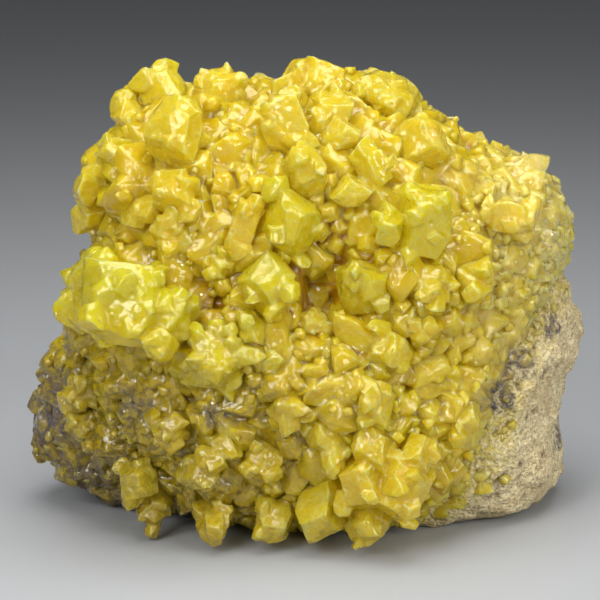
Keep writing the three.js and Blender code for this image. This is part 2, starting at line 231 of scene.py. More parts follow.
class Skin:
    """How far out the CAD rock and the CAD crust reach from HEART, in every direction.

    The sockets of the larger crystals are filled, and the facets of the CAD solids smoothed away.
    """

    FAR = 0.2  # rays come in from here
    SPLITS = 7
    SUNK = 2 * MM  # where there is no crust, its level runs this far under the rock

    def __init__(self):
        sphere = icosphere(self.SPLITS)
        self.directions = directions_of(sphere)
        self.faces = np.array([[v.index for v in f.verts] for f in sphere.faces])
        self.edges = np.array([[v.index for v in e.verts] for e in sphere.edges])
        self.valence = np.bincount(self.edges.ravel(), minlength=len(self.directions))
        sphere.free()
        crystals = [self.cast(node) for node in CRYSTAL_NODES]
        covered = np.isfinite(np.array(crystals)).any(axis=0)
        for _ in range(3):  # the sockets are a little wider than the crystals
            covered = covered | (self.around(covered.astype(float)) > 0)
        rock = self.cast(ROCK)
        self.rock = self.relaxed(self.filled(rock, covered | ~np.isfinite(rock)), 5)
        crust = self.cast(CRUST)
        self.crusted = self.filled(np.isfinite(crust).astype(float), covered) > 0.5
        deep = self.rock - self.SUNK
        crust = self.filled(np.where(np.isfinite(crust), crust, deep), covered)
        self.crust = self.relaxed(np.where(self.crusted, crust, deep), 7)
        self.near_crust = self.relaxed(self.crusted.astype(float), 150)
        self.hollow = self.relaxed(self.crust, 900) - self.crust
        self.lookup = KDTree(len(self.directions))
        for i, direction in enumerate(self.directions):
            self.lookup.insert(direction, i)
        self.lookup.balance()

    def cast(self, node):
        """How far out each direction last meets a CAD node, or nothing."""
        tree = tree_of(*arrays_of(frame["nodes"][node].data))
        reach = np.full(len(self.directions), np.nan)
        low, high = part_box(node)
        radius = (high - low).length / 2
        out = (low + high) / 2 - HEART
        towards = np.array(out.normalized())
        cone = -1 if radius >= out.length else math.cos(math.asin(radius / out.length))
        for i in np.nonzero(self.directions @ towards > cone)[0]:
            direction = Vector(self.directions[i])
            hit = tree.ray_cast(HEART + direction * self.FAR, -direction)
            if hit[3] is not None and hit[3] < self.FAR:
                reach[i] = self.FAR - hit[3]
        return reach

    def around(self, values):
        """Each point's mean over its neighbours."""
        a, b = self.edges.T
        total = np.bincount(a, values[b], len(values)) + np.bincount(b, values[a], len(values))
        return total / self.valence

    def filled(self, values, holes, times=400):
        """The values with the holes spanned from their rims."""
        values = np.where(holes, np.nanmean(values[~holes]), values)
        for _ in range(times):
            values = np.where(holes, self.around(values), values)
        return values

    def relaxed(self, values, times):
        """The values smoothed out."""
        for _ in range(times):
            values = (values + self.around(values)) / 2
        return values

    def nearest(self, points):
        """The index of the direction nearest to each point's."""
        arms = points - CORE
        arms /= np.linalg.norm(arms, axis=1, keepdims=True)
        return self.nearest_directions(arms)

    def nearest_directions(self, arms):
        return np.array([self.lookup.find(arm)[1] for arm in arms])

    def depth(self, points, ways):
        """How far the points lie under the outer surface."""
        return np.maximum(self.crust, self.rock)[ways] - np.linalg.norm(points - CORE, axis=1)

    def hollow_shade(self, ways):
        """How much painted shade darkens the sulfur towards amber: 0 where the crust stands out,
        0.8 in its broad hollows.
        """
        return 0.8 * ramp(self.hollow[ways], 0.3 * MM, 2.5 * MM)

    def points(self, reach):
        return CORE + self.directions * reach[:, None]


skin = Skin()


# ---------------------------------------------------------------------------------------------
# How the specimen changes from place to place


def shares_of(points):
    """Where points lie in the specimen: -1 to 1 to the right and to the back, 0 to 1 upwards."""
    right = points[:, 0] / (SIZE.x / 2)
    back = points[:, 1] / (SIZE.y / 2)
    up = points[:, 2] / SIZE.z
    return right, back, up


def fineness(points):
    """0 where the crust's crystals are coarse, 1 where it is like sugar: at the right and rims."""
    right, back, up = shares_of(points)
    right = right + 0.12 * swell(points, 9 * MM, 5)
    fine = ramp(right, 0.42, 0.84) * ramp(0.82 - up, -0.05, 0.3)
    rims = np.maximum(ramp(back, 0.0, 0.45), ramp(-up, -0.12, 0.02))
    return np.maximum(fine, 0.75 * rims)


def dust(points):
    """How far pale dust covers the right side and the back, and olive dirt the foot on the left."""
    right, back, up = shares_of(points)
    drift = 0.22 * swell(points, 8 * MM, 6) + 0.12 * swell(points, 3 * MM, 7)
    pale = np.maximum(ramp(right + drift, 0.45, 0.95), ramp(back + drift, 0.05, 0.6))
    dirt = ramp(0.35 - right + drift, 0, 0.9) * ramp(0.62 - up + 0.5 * drift, 0, 0.42)
    return pale, dirt * (1 - pale)


# Grey patches of the front: how far right (-1 to 1), how far up (0 to 1), and the radius in mm
GREY_PATCHES = (
    (0.64, 0.31, 3.4),
    (0.71, 0.37, 2.8),
    (0.85, 0.44, 2.2),
    (0.92, 0.16, 2.6),
    (-0.94, 0.24, 6.5),
    (-0.58, 0.32, 3.2),
    (-0.78, 0.08, 5.0),
    (-0.32, 0.30, 2.6),
)


def greyness(points):
    """1 inside the grey patches, 0 outside, with ragged rims."""
    right, _, up = shares_of(points)
    ragged = 0.55 * swell(points, 3 * MM, 31) + 0.3 * swell(points, 1.2 * MM, 32)
    grey = np.zeros(len(points))
    for patch_right, patch_up, radius in GREY_PATCHES:
        away = np.hypot((right - patch_right) * SIZE.x / 2, (up - patch_up) * SIZE.z)
        grey = np.maximum(grey, ramp(1.1 - away / (radius * MM) + ragged, 0, 0.5))
    return grey


def crystal_size(points):
    """How large the crust's crystals are."""
    coarse = (4.5 + 1.5 * swell(points, 10 * MM, 3)) * MM
    return coarse * (1 - 0.68 * fineness(points))


# ---------------------------------------------------------------------------------------------
# Sulfur crystals

AXES = np.array([0.814, 1, 1.905])  # of the orthorhombic cell, as shares of the middle one
FORMS = {  # by their Miller indices
    "steep": (1, 1, 1),
    "blunt": (1, 1, 3),
    "base": (0, 0, 1),
    "dome": (0, 1, 1),
    "front": (1, 0, 0),
    "side": (0, 1, 0),
}
HABITS = {  # how far out the faces of each form lie
    "block": {"steep": 1, "blunt": 1.16, "base": 1.1},
    "chip": {"steep": 1, "base": 1.15},
    "peak": {"steep": 1, "blunt": 1.4, "dome": 1.12},
    "table": {"steep": 1.05, "blunt": 1.0, "base": 0.72},
    "brick": {"steep": 1.15, "blunt": 1.5, "base": 1.2, "front": 0.84, "side": 0.95},
}
HALF_WIDTH = 0.45  # of a crystal one unit across, out to its steep faces
DISTORTION = 0.26
BREAKS = 2  # flat breaks across a crystal, at most


def crystal_planes(habit):
    """The planes of one crystal's faces: their normals and how far out they lie."""
    normals, limits = [], []
    for form, share in HABITS[habit].items():
        signs = [(1, -1) if index else (1,) for index in FORMS[form]]
        for sign in itertools.product(*signs):
            normal = np.array(sign) * FORMS[form] / AXES
            normals.append(normal / np.linalg.norm(normal))
            limits.append(HALF_WIDTH * share * (1 + DISTORTION * RNG.uniform(-1, 1)))
    for _ in range(RNG.integers(BREAKS + 1)):
        normal = RNG.normal(size=3)
        normals.append(normal / np.linalg.norm(normal))
        limits.append(RNG.uniform(0.4, 0.5))
    return np.array(normals), np.array(limits)


def polyhedron(normals, limits):
    """Corners and faces of the solid inside all the planes."""
    triples = np.array(list(itertools.combinations(range(len(limits)), 3)))
    matrices = normals[triples]
    sound = np.abs(np.linalg.det(matrices)) > 1e-3
    corners = np.linalg.solve(matrices[sound], limits[triples[sound]][..., None])[..., 0]
    corners = corners[(corners @ normals.T < limits + 1e-6).all(axis=1)]
    corners = np.unique(corners.round(5), axis=0)
    faces = {}
    for i, (normal, limit) in enumerate(zip(normals, limits)):
        members = np.nonzero(np.abs(corners @ normal - limit) < 5e-5)[0]
        if len(members) < 3:
            continue
        spokes = corners[members] - corners[members].mean(axis=0)
        u = spokes[0] / np.linalg.norm(spokes[0])
        v = np.cross(normal, u)
        faces[i] = members[np.argsort(np.arctan2(spokes @ v, spokes @ u))]
    return corners, faces


def chamfered(normals, limits, depth):
    """The same planes with one more across each edge, depth below it."""
    corners, faces = polyhedron(normals, limits)
    more, more_limits = [], []
    for a, b in itertools.combinations(faces, 2):
        shared = np.intersect1d(faces[a], faces[b])
        if len(shared) == 2:
            across = normals[a] + normals[b]
            across /= np.linalg.norm(across)
            more.append(across)
            more_limits.append((corners[shared] @ across).mean() - depth * RNG.uniform(0.5, 1.5))
    return np.concatenate([normals, more]), np.concatenate([limits, more_limits])


def is_closed(faces):
    """Whether every edge is shared by two faces, once each way."""
    sides = [(a, b) for face in faces for a, b in zip(face, np.roll(face, -1))]
    known = set(sides)
    return len(known) == len(sides) and all((b, a) in known for a, b in sides)


def flat_arrays(points, faces):
    """A solid as its points, the corners of all faces in a row, and how many each face has."""
    return points, np.concatenate(faces), np.array([len(face) for face in faces])


def template(habit, chamfer):
    """One crystal, a unit across, as flat arrays."""
    while True:
        normals, limits = crystal_planes(habit)
        if chamfer:
            normals, limits = chamfered(normals, limits, chamfer)
        points, faces = polyhedron(normals, limits)
        faces = list(faces.values())
        if is_closed(faces):
            return flat_arrays(points, faces)


def templates(count, habits, chamfer):
    return [template(habits[i % len(habits)], chamfer) for i in range(count)]


def turns(axes, spins):
    """Rotation matrices that take Z to each axis after a spin about it."""
    helper = np.where(np.abs(axes[:, 2:]) < 0.9, [[0, 0, 1]], [[1, 0, 0]])
    x = np.cross(helper, axes)
    x /= np.linalg.norm(x, axis=1, keepdims=True)
    y = np.cross(axes, x)
    c, s = np.cos(spins)[:, None], np.sin(spins)[:, None]
    return np.stack([x * c + y * s, y * c - x * s, axes], axis=2)


# ---------------------------------------------------------------------------------------------
# Scattering crystals over the crust


class Scatter:
    """Seats of crystals, each one clear of those before it: centre, outward normal and size."""

    CELL = 2 * MM
    FARTHEST = 5 * MM  # the search for neighbours ends here
    CLEARANCE = 0.12  # from the larger crystals, as a share of a crystal's size

    def __init__(self):
        self.seats = []
        self.grid = {}
        crystals = [arrays_of(frame["nodes"][node].data) for node in CRYSTAL_NODES]
        offsets = np.cumsum([0] + [len(points) for points, _ in crystals])
        self.grown = tree_of(
            np.concatenate([points for points, _ in crystals]),
            np.concatenate([faces + start for (_, faces), start in zip(crystals, offsets)]),
        )

    def crowded(self, point, size, spacing):
        reach = int(math.ceil(self.FARTHEST / self.CELL))
        home = [int(math.floor(c / self.CELL)) for c in point]
        for step in itertools.product(range(-reach, reach + 1), repeat=3):
            for other, other_size in self.grid.get(tuple(h + s for h, s in zip(home, step)), ()):
                if (point - other).length < spacing * (size + other_size) / 2:
                    return True
        return False

    def inside_crystal(self, point, size):
        near, normal, _, distance = self.grown.find_nearest(point)
        inside = (point - near).dot(normal) < 0
        return inside or distance < self.CLEARANCE * size

    def add(self, places, normals, sizes, spacing, depth):
        for spot, normal, size, sunk in zip(places, normals, sizes, depth):
            centre = Vector(spot - normal * size * sunk)
            if self.crowded(centre, size, spacing) or self.inside_crystal(Vector(spot), size):
                continue
            key = tuple(int(math.floor(c / self.CELL)) for c in centre)
            self.grid.setdefault(key, []).append((centre, size))
            self.seats.append((np.array(centre), normal, size))


def surface_samples(points, faces, keep, count):
    """Random places on the kept faces, with the faces' normals."""
    corners = points[faces[keep]]
    cross = np.cross(corners[:, 1] - corners[:, 0], corners[:, 2] - corners[:, 0])
    area = np.linalg.norm(cross, axis=1)
    chosen = RNG.choice(len(corners), count, p=area / area.sum())
    a, b = RNG.random((2, count))
    flip = a + b > 1
    a, b = np.where(flip, 1 - a, a)[:, None], np.where(flip, 1 - b, b)[:, None]
    corner = corners[chosen]
    places = corner[:, 0] * (1 - a - b) + corner[:, 1] * a + corner[:, 2] * b
    return places, cross[chosen] / area[chosen, None]


SCATTER_ROUNDS = (  # share of the usual size, how many tries, and spacing as a share of the size
    (1.55, 2500, 0.58),
    (1.0, 9000, 0.56),
    (0.55, 20000, 0.64),
)
BARE_FOOT = 1.5 * MM


def growth(surface):
    """How likely a crystal grows: less on the dirty foot, the rock beside the crust, and below."""
    _, dirt = dust(surface)
    _, back, _ = shares_of(surface)
    edge = ramp(skin.near_crust + 0.22 * swell(surface, 6 * MM, 9), 0.12, 0.5)
    on_rock = np.maximum(0.6 * edge, 0.3 * dirt * ramp(-back, -0.25, 0.1))
    chance = np.where(skin.crust > skin.rock, 1 - 0.4 * dirt, on_rock)
    return np.where(surface[:, 2] > BARE_FOOT, chance, 0)


def scattered():
    """Seats over the crust and the rock beside it, the larger crystals first."""
    surface = skin.points(np.maximum(skin.crust, skin.rock))
    chance = growth(surface)
    keep = (chance > 0.02)[skin.faces].all(axis=1)
    scatter = Scatter()
    for factor, count, spacing in SCATTER_ROUNDS:
        places, normals = surface_samples(surface, skin.faces, keep, count)
        grows = RNG.random(count) < chance[skin.nearest(places)]
        places, normals = places[grows], normals[grows]
        sizes = crystal_size(places) * factor * RNG.uniform(0.75, 1.3, len(places))
        scatter.add(places, normals, sizes, spacing, 0.32 + 0.1 * fineness(places))
    return scatter.seats


def fans_of(loops, counts):
    """The faces cut into triangles."""
    fans, first = [], 0
    for count in counts:
        face = loops[first : first + count]
        fans += [(face[0], face[i], face[i + 1]) for i in range(1, count - 1)]
        first += count
    return np.array(fans)


def near_surface(points, faces, depth):
    """Which faces lie less than depth under the outer surface."""
    middles = points[faces].mean(axis=1)
    return skin.depth(middles, skin.nearest(middles)) < depth


def overgrown(points, loops, counts, number):
    """Seats of small crystals all over a surface that has grown already."""
    faces = fans_of(loops, counts)
    places, normals = surface_samples(points, faces, near_surface(points, faces, 1.6 * MM), number)
    sizes = RNG.uniform(0.2, 0.55, number) * crystal_size(places)
    scatter = Scatter()
    scatter.add(places, normals, sizes, 0.9, np.full(number, 0.2))
    return scatter.seats


def tree_of_seats(seats):
    tree = KDTree(len(seats))
    for i, (centre, _, _) in enumerate(seats):
        tree.insert(centre, i)
    tree.balance()
    return tree


TOUCHING = 0.8  # two crystals may touch when their centres are nearer than this share of both sizes


def apart(seats):
    """The numbers of the seats in groups whose crystals don't touch each other."""
    tree = tree_of_seats(seats)
    widest = max(size for _, _, size in seats)
    group = np.full(len(seats), -1)
    for i, (centre, _, size) in enumerate(seats):
        near = tree.find_range(centre, TOUCHING * (size + widest))
        taken = {group[j] for _, j, distance in near if distance < TOUCHING * (size + seats[j][2])}
        group[i] = next(g for g in itertools.count() if g not in taken)
    return [np.nonzero(group == g)[0] for g in range(group.max() + 1)]


WORN_FROM = 2.9 * MM  # crystals from this size up have worn edges


def seated(seats, kinds):
    """The crystals of the seats as flat arrays."""
    points, loops, counts = [], [], []
    start = 0
    for centre, normal, size in seats:
        choices = kinds["worn" if size > WORN_FROM else "sharp"]
        shape, corners, sides = choices[RNG.integers(len(choices))]
        lean = normal + RNG.normal(0, 0.5, 3)
        lean /= np.linalg.norm(lean)
        turn = turns(lean[None], RNG.uniform(0, 2 * math.pi, 1))[0]
        stretch = RNG.uniform([0.85, 0.85, 0.85], [1.15, 1.15, 1.3])
        points.append(centre + (shape * stretch) @ turn.T * size)
        loops.append(corners + start)
        counts.append(sides)
        start += len(shape)
    return np.concatenate(points), np.concatenate(loops), np.concatenate(counts)


def blank_material():
    """For solids that are only steps on the way to a piece."""
    return bpy.data.materials.get("blank") or bpy.data.materials.new("blank")


def read_polygons(mesh):
    """A mesh as flat arrays, with its faces' normals and areas."""
    points = np.array([v.co for v in mesh.vertices])
    loops = np.empty(len(mesh.loops), int)
    mesh.loops.foreach_get("vertex_index", loops)
    counts = np.empty(len(mesh.polygons), int)
    mesh.polygons.foreach_get("loop_total", counts)
    normals = np.empty(3 * len(counts))
    mesh.polygons.foreach_get("normal", normals)
    areas = np.empty(len(counts))
    mesh.polygons.foreach_get("area", areas)
    return points, loops, counts, normals.reshape(-1, 3), areas


def joined(solids, operation="UNION"):
    """The solids, each given as flat arrays, joined or cut back to what they share."""
    made = [make_object("solid", *solid, blank_material()) for solid in solids]
    others = bpy.data.collections.new("others")
    for solid in made[1:]:
        others.objects.link(solid)
    step = made[0].modifiers.new("step", "BOOLEAN")
    step.operation = operation
    step.solver = "MANIFOLD"
    step.operand_type = "COLLECTION"
    step.collection = others
    result = read_polygons(made[0].evaluated_get(bpy.context.evaluated_depsgraph_get()).to_mesh())
    for solid in made:
        bpy.data.objects.remove(solid)
    bpy.data.collections.remove(others)
    return result


CRUST_SHADE_DEPTH = 2.5 * MM
SMALL_FACE = MM**2


def looks_of(points, normals, areas, seats):
    """What the sulfur materials read.

    tone differs from crystal to crystal, root is how deep or how far in a hollow a point lies,
    for painted shade there, frost differs from face to face, edge marks little faces painted
    bright as a highlight, and the rest lies on top.
    """
    tree = tree_of_seats(seats)
    nearest = np.array([tree.find(point)[1] for point in points])
    ways = skin.nearest(points)
    frost = shares_hashed(np.round(normals * 4), 1)
    pale, dirt = dust(points)
    return {
        "tone": shares_hashed(np.stack([nearest] * 3, axis=1), 3),
        # painted shade: points deep under the surface or in hollows take the deep colour
        "root": np.clip(skin.depth(points, ways) / CRUST_SHADE_DEPTH + 0.1 + skin.hollow_shade(ways), 0, 1),
        "frost": frost,
        # painted highlight: small faces, where the chamfers lie, are painted pale
        "edge": ramp(0.5 - areas / SMALL_FACE, 0, 0.45) * (frost > 0.4),
        "pale": pale,
        "dirt": dirt,
        "grey": greyness(points),
    }


SMALLEST_JOINED = 1.5 * MM  # smaller crystals make the second piece
OVERGROWN = 1000  # tries for small crystals on the first piece


def druse(kinds, material):
    """The crust's crystals grown into one another, and the small ones on and between them."""
    seats = scattered()
    large = [seat for seat in seats if seat[2] > SMALLEST_JOINED]
    bed = crust_bed()
    main = joined([bed, *(seated([large[i] for i in group], kinds) for group in apart(large))])
    small = [seat for seat in seats if seat[2] <= SMALLEST_JOINED] + overgrown(*main[:3], OVERGROWN)
    sugar = joined([seated([small[i] for i in group], kinds) for group in apart(small)])
    for name, (points, loops, counts, normals, areas) in (("druse", main), ("sugary_druse", sugar)):
        looks = looks_of(points, normals, areas, seats)
        stand_in(make_object(name, points, loops, counts, material, looks), CRUST)


def crust_bed():
    """A closed shell a little under the crystals' tips, with its underside sunk in the rock."""
    directions, faces = directions_and_faces(icosphere(6))
    near = skin.nearest_directions(directions)
    crust, rock_level = skin.crust[near], skin.rock[near]
    surface = skin.points(skin.crust)[near]
    depth = 0.26 * crystal_size(surface) + 0.1 * MM
    outer = crust - depth + 0.4 * MM * swell(surface, 2.6 * MM, 8)
    inner = np.minimum(outer, rock_level) - 1.2 * MM
    faces = faces[(outer > rock_level - 0.8 * MM)[faces].all(axis=1)]
    sides = np.concatenate([faces[:, [0, 1]], faces[:, [1, 2]], faces[:, [2, 0]]])
    keys = {(a, b) for a, b in sides.tolist()}
    rim = np.array([(a, b) for a, b in keys if (b, a) not in keys])
    total = len(directions)
    walls = np.stack([rim[:, 1], rim[:, 0], rim[:, 0] + total, rim[:, 1] + total], axis=1)
    arms = np.concatenate([directions * outer[:, None], directions * inner[:, None]])
    loops = np.concatenate([faces.ravel(), (faces[:, ::-1] + total).ravel(), walls.ravel()])
    counts = np.concatenate([np.full(2 * len(faces), 3), np.full(len(walls), 4)])
    used, compact = np.unique(loops, return_inverse=True)
    return CORE + arms[used], compact, counts


# ---------------------------------------------------------------------------------------------
# Rock


def rock_directions():
    """Directions for the rock's mesh, close together where the rock is bare."""
    bare = (skin.crust < skin.rock + 0.6 * MM) & (skin.points(skin.rock)[:, 2] > 1.0 * MM)
    sphere = icosphere(6)
    for _ in range(2):
        directions = directions_of(sphere)
        open_here = bare[skin.nearest_directions(directions)]
        edges = [e for e in sphere.edges if all(open_here[v.index] for v in e.verts)]
        bmesh.ops.subdivide_edges(sphere, edges=edges, cuts=1, use_grid_fill=True)
        bmesh.ops.triangulate(sphere, faces=sphere.faces[:])
        sphere.verts.index_update()
    return directions_and_faces(sphere)


def rock_relief(ground):
    """How far the rock's surface stands out, and where its pores and vugs are, for painted shade in
    them.
    """
    ledges = swell(ground * [1, 1, 1.7], 8 * MM, 21)
    ledges += 0.5 * swell(ground * [1, 1, 0.4], 3.2 * MM, 28)
    broken = ledges + 0.9 * np.abs(swell(ground, 5 * MM, 22)) + 0.6 * swell(ground, 2.2 * MM, 23)
    grains = 0.34 * swell(ground, 1.2 * MM, 24) + 0.26 * swell(ground, 0.65 * MM, 25)
    pores = ramp(0.26 - pebbles(ground * [1, 1, 0.7], 2.3 * MM, 26), 0, 0.12)
    vugs = ramp(swell(ground * [1, 1, 0.7], 3.4 * MM, 27), 0.38, 0.62)
    return (broken + grains - 0.45 * pores - 1.1 * vugs) * MM, np.maximum(pores, vugs)


def rock(material):
    directions, faces = rock_directions()
    tree = tree_of(skin.points(skin.rock), skin.faces)
    reach = np.array([tree.ray_cast(HEART, Vector(d))[3] for d in directions])
    relief, pores = rock_relief(CORE + directions * reach[:, None])
    points = CORE + directions * (reach + relief)[:, None]
    points[:, 2] = np.maximum(points[:, 2], 0)
    _, dirt = dust(points)
    attributes = {
        "stain": ramp(skin.near_crust[skin.nearest(points)], 0.02, 0.45),
        "dirt": dirt,
        "grey": greyness(points),
        # painted shade: the pores and vugs are darkened in the material
        "pore_shade": pores,
    }
    made = make_object("porous_rock", points, *triangles_of(faces), material, attributes)
    smooth(made)
    stand_in(made, ROCK)


# ---------------------------------------------------------------------------------------------
# The larger crystals, from their CAD nodes


def remeshed(solids, voxel):
    """One evenly spaced mesh around all the solids: points, normals and triangles."""
    starts = np.cumsum([0] + [len(points) for points, _, _ in solids])
    source = make_object(
        "source",
        np.concatenate([points for points, _, _ in solids]),
        np.concatenate([loops + start for (_, loops, _), start in zip(solids, starts)]),
        np.concatenate([counts for _, _, counts in solids]),
        blank_material(),
    )
    source.modifiers.new("even", "REMESH").voxel_size = voxel
    result = source.evaluated_get(bpy.context.evaluated_depsgraph_get()).to_mesh()
    points, triangles = arrays_of(result)
    normals = np.array([v.normal for v in result.vertices])
    bpy.data.objects.remove(source)
    return points, normals, triangles


def ledges_of(points, size, steps, seed):
    """Growth steps: noise in flat treads with short risers."""
    height = swell(points, size, seed) * steps
    tread = np.floor(height)
    return (tread + ramp(height - tread, 0.7, 1.0)) / steps


ENVELOPE_FACES = 15
TIGHTNESS = (0.74, 0.96)  # of each face of an envelope


def envelope(points):
    """A solid of many faces a little tighter than the points, to take off their outer corners."""
    middle = (points.min(axis=0) + points.max(axis=0)) / 2
    size = np.ptp(points, axis=0).max()
    while True:
        normals = RNG.normal(size=(ENVELOPE_FACES, 3))
        normals /= np.linalg.norm(normals, axis=1, keepdims=True)
        limits = ((points - middle) @ normals.T).max(axis=0) / size
        limits *= RNG.uniform(*TIGHTNESS, ENVELOPE_FACES)
        limits = np.append(limits, np.full(6, 0.6))  # a box that closes it, clear of the crystal
        corners, faces = polyhedron(np.concatenate([normals, np.eye(3), -np.eye(3)]), limits)
        faces = list(faces.values())
        if is_closed(faces):
            return flat_arrays(middle + corners * size, faces)


COMPANIONS = {  # how many smaller crystals grow on a node, and their sizes in mm
    "lemon_cluster": (44, 2.8, 5.6),
    "leafy_cluster": (22, 2.2, 4.4),
    "foot_cluster": (18, 2.0, 4.2),
    "brow_cluster_right": (10, 1.8, 3.6),
}
USUAL_COMPANIONS = (7, 1.6, 4.2)
SEAT_DEPTH = 0.26  # of a companion, as a share of its size
VOXEL = 0.17 * MM
KEPT_TRIANGLES = 0.36
ROOT_SHADE_DEPTH = 4 * MM


def companions(node, points, faces, kinds):
    """Smaller crystals on the side of the node that stands out of the crust."""
    count, smallest, largest = COMPANIONS.get(node, USUAL_COMPANIONS)
    keep = near_surface(points, faces, 1 * MM)
    if not keep.any():
        return []
    spots, normals = surface_samples(points, faces, keep, count)
    sizes = RNG.uniform(smallest, largest, count) * MM
    centres = spots - SEAT_DEPTH * sizes[:, None] * normals
    return [seated([seat], kinds) for seat in zip(centres, normals, sizes)]


def face_relief(points):
    """Growth steps, shallow dents and fine unevenness."""
    treads = 0.12 * ledges_of(points, 2.6 * MM, 3, 41) + 0.07 * swell(points, 1.4 * MM, 42)
    dents = -0.2 * ramp(0.2 - pebbles(points, 2.4 * MM, 43), 0, 0.1)
    fine = 0.05 * swell(points, 0.6 * MM, 44)
    return (treads + dents + fine) * MM


def sharpness(points, normals, faces):
    """1 on convex edges and corners, 0 on flat faces and in hollows."""
    a, b = np.concatenate([faces[:, [0, 1]], faces[:, [1, 2]], faces[:, [2, 0]]]).T
    degree = np.bincount(a, minlength=len(points))[:, None]
    around = np.stack([np.bincount(a, points[b, i], len(points)) for i in range(3)], axis=1)
    height = ((points - around / degree) * normals).sum(axis=1)
    return ramp(height, 0.015 * MM, 0.05 * MM)


def grown_crystal(node, material, kinds):
    """The node's crystals with cut corners and stepped faces, and smaller ones grown on them."""
    whole = welded(frame["nodes"][node].data)
    core = joined([whole, envelope(whole[0])], "INTERSECT")[:3]
    others = companions(node, whole[0], whole[1].reshape(-1, 3), kinds)
    points, normals, faces = remeshed([core, *others], VOXEL)
    points = points + normals * face_relief(points)[:, None]
    ways = skin.nearest(points)
    pale, dirt = dust(points)
    looks = {
        "tone": np.full(len(points), RNG.random()),
        # painted shade: points deep under the surface or in hollows take the deep colour
        "root": np.clip(skin.depth(points, ways) / ROOT_SHADE_DEPTH + 0.7 * skin.hollow_shade(ways), 0, 1),
        "frost": ramp(swell(points, 5 * MM, 45), -0.5, 0.5),
        # painted highlight: convex edges and corners are painted pale
        "edge": sharpness(points, normals, faces),
        "pale": 0.6 * pale,
        "dirt": 0.6 * dirt,
        "grey": np.zeros(len(points)),
    }
    made = make_object(f"{node}_grown", points, *triangles_of(faces), material, looks)
    smooth(made)
    made.modifiers.new("spare", "DECIMATE").ratio = KEPT_TRIANGLES
    stand_in(made, node)


# ---------------------------------------------------------------------------------------------
# Materials


def colour(red, green, blue):
    """A colour given in sRGB, 0 to 255, as linear RGBA."""
    shares = [channel / 255 for channel in (red, green, blue)]
    return (*(c / 12.92 if c <= 0.0405 else ((c + 0.055) / 1.055) ** 2.4 for c in shares), 1)


DUST_TINTS = {
    "pale": colour(248, 232, 160),
    "dirt": colour(134, 116, 46),
    "grey": colour(136, 122, 108),
}


class Shader:
    """A material, with short ways to add nodes to it."""

    def __init__(self, name):
        self.material = bpy.data.materials.new(name)
        self.material.use_nodes = True
        self.tree = self.material.node_tree
        self.tree.nodes.clear()
        self.output = self.tree.nodes.new("ShaderNodeOutputMaterial")
        self.place = self.node("ShaderNodeTexCoord").outputs["Object"]

    def node(self, kind, settings=None, **inputs):
        made = self.tree.nodes.new(kind)
        for key, value in (settings or {}).items():
            setattr(made, key, value)
        for key, value in inputs.items():
            self.set(made.inputs[key.replace("_", " ")], value)
        return made

    def set(self, socket, value):
        if isinstance(value, bpy.types.NodeSocket):
            self.tree.links.new(value, socket)
        else:
            socket.default_value = value

    def noise(self, size, detail, roughness, distortion=0.0, output="Fac"):
        return self.node(
            "ShaderNodeTexNoise",
            Vector=self.place,
            Scale=1 / size,
            Detail=detail,
            Roughness=roughness,
            Distortion=distortion,
        ).outputs[output]

    def cells(self, size, feature="F1", output="Distance"):
        return self.node(
            "ShaderNodeTexVoronoi", {"feature": feature}, Vector=self.place, Scale=1 / size
        ).outputs[output]

    def attribute(self, name):
        return self.node("ShaderNodeAttribute", {"attribute_name": name}).outputs["Fac"]

    def warp(self, size, amount):
        """Later patterns are pushed about by noise, so that their lines wander."""
        push = self.noise(size, 2, 0.5, output="Color")
        scaled = self.node("ShaderNodeVectorMath", {"operation": "SCALE"}, Scale=amount)
        self.set(scaled.inputs[0], push)
        self.place = self.vectors("ADD", self.place, scaled.outputs[0])

    def spread(self, value, low, high, to_low=0.0, to_high=1.0):
        mapped = self.node("ShaderNodeMapRange", {"interpolation_type": "SMOOTHSTEP"})
        for socket, number in zip(mapped.inputs, (value, low, high, to_low, to_high)):
            self.set(socket, number)
        return mapped.outputs[0]

    def mix(self, factor, a, b):
        """Colour a, going over to colour b as the factor rises."""
        mixed = self.node("ShaderNodeMix", {"data_type": "RGBA"})
        for socket, value in zip((0, 6, 7), (factor, a, b)):  # the colour sockets are 6 and 7
            self.set(mixed.inputs[socket], value)
        return mixed.outputs[2]

    def maths(self, operation, a, b):
        made = self.node("ShaderNodeMath", {"operation": operation})
        self.set(made.inputs[0], a)
        self.set(made.inputs[1], b)
        return made.outputs[0]

    def times(self, a, b):
        return self.maths("MULTIPLY", a, b)

    def vectors(self, operation, a, b, output=0):
        made = self.node("ShaderNodeVectorMath", {"operation": operation})
        self.set(made.inputs[0], a)
        self.set(made.inputs[1], b)
        return made.outputs[output]

    def bump(self, height, distance, strength, normal=None):
        made = self.node("ShaderNodeBump", Height=height, Distance=distance, Strength=strength)
        if normal:
            self.set(made.inputs["Normal"], normal)
        return made.outputs[0]

    def dusted(self, base, share):
        """The colour under the pale dust of the right side and the dirt of the foot, in patches."""
        patches = self.spread(self.noise(1.2 * MM, 3, 0.65, 0.8), 0.38, 0.6, 0.35, 1.0)
        for name, tint in DUST_TINTS.items():
            amount = self.times(self.attribute(name), patches)
            base = self.mix(self.times(amount, share), base, tint)
        return base

    def facets(self, size, tilt, normal):
        """The normal of a surface broken into small flat facets that lean every way."""
        lean = self.vectors("SUBTRACT", self.cells(size, output="Color"), (0.5, 0.5, 0.5))
        slope = self.vectors("DOT_PRODUCT", lean, self.place, "Value")
        return self.bump(slope, 1.0, tilt, normal)

    def surface(self, **inputs):
        shader = self.node("ShaderNodeBsdfPrincipled", **inputs)
        self.tree.links.new(shader.outputs[0], self.output.inputs["Surface"])
        return self.material


# painted highlight: the pale tint given to edges and small faces
EDGE_HIGHLIGHT = colour(255, 250, 190)
INNER_TINT = colour(255, 250, 120)  # what is left of white light inside clear sulfur
SCATTER_RADIUS = (1.6, 1.75, 0.3)  # in mm
SULFUR_IOR = 1.55  # under sulfur's own, which hides the body colour behind its reflections


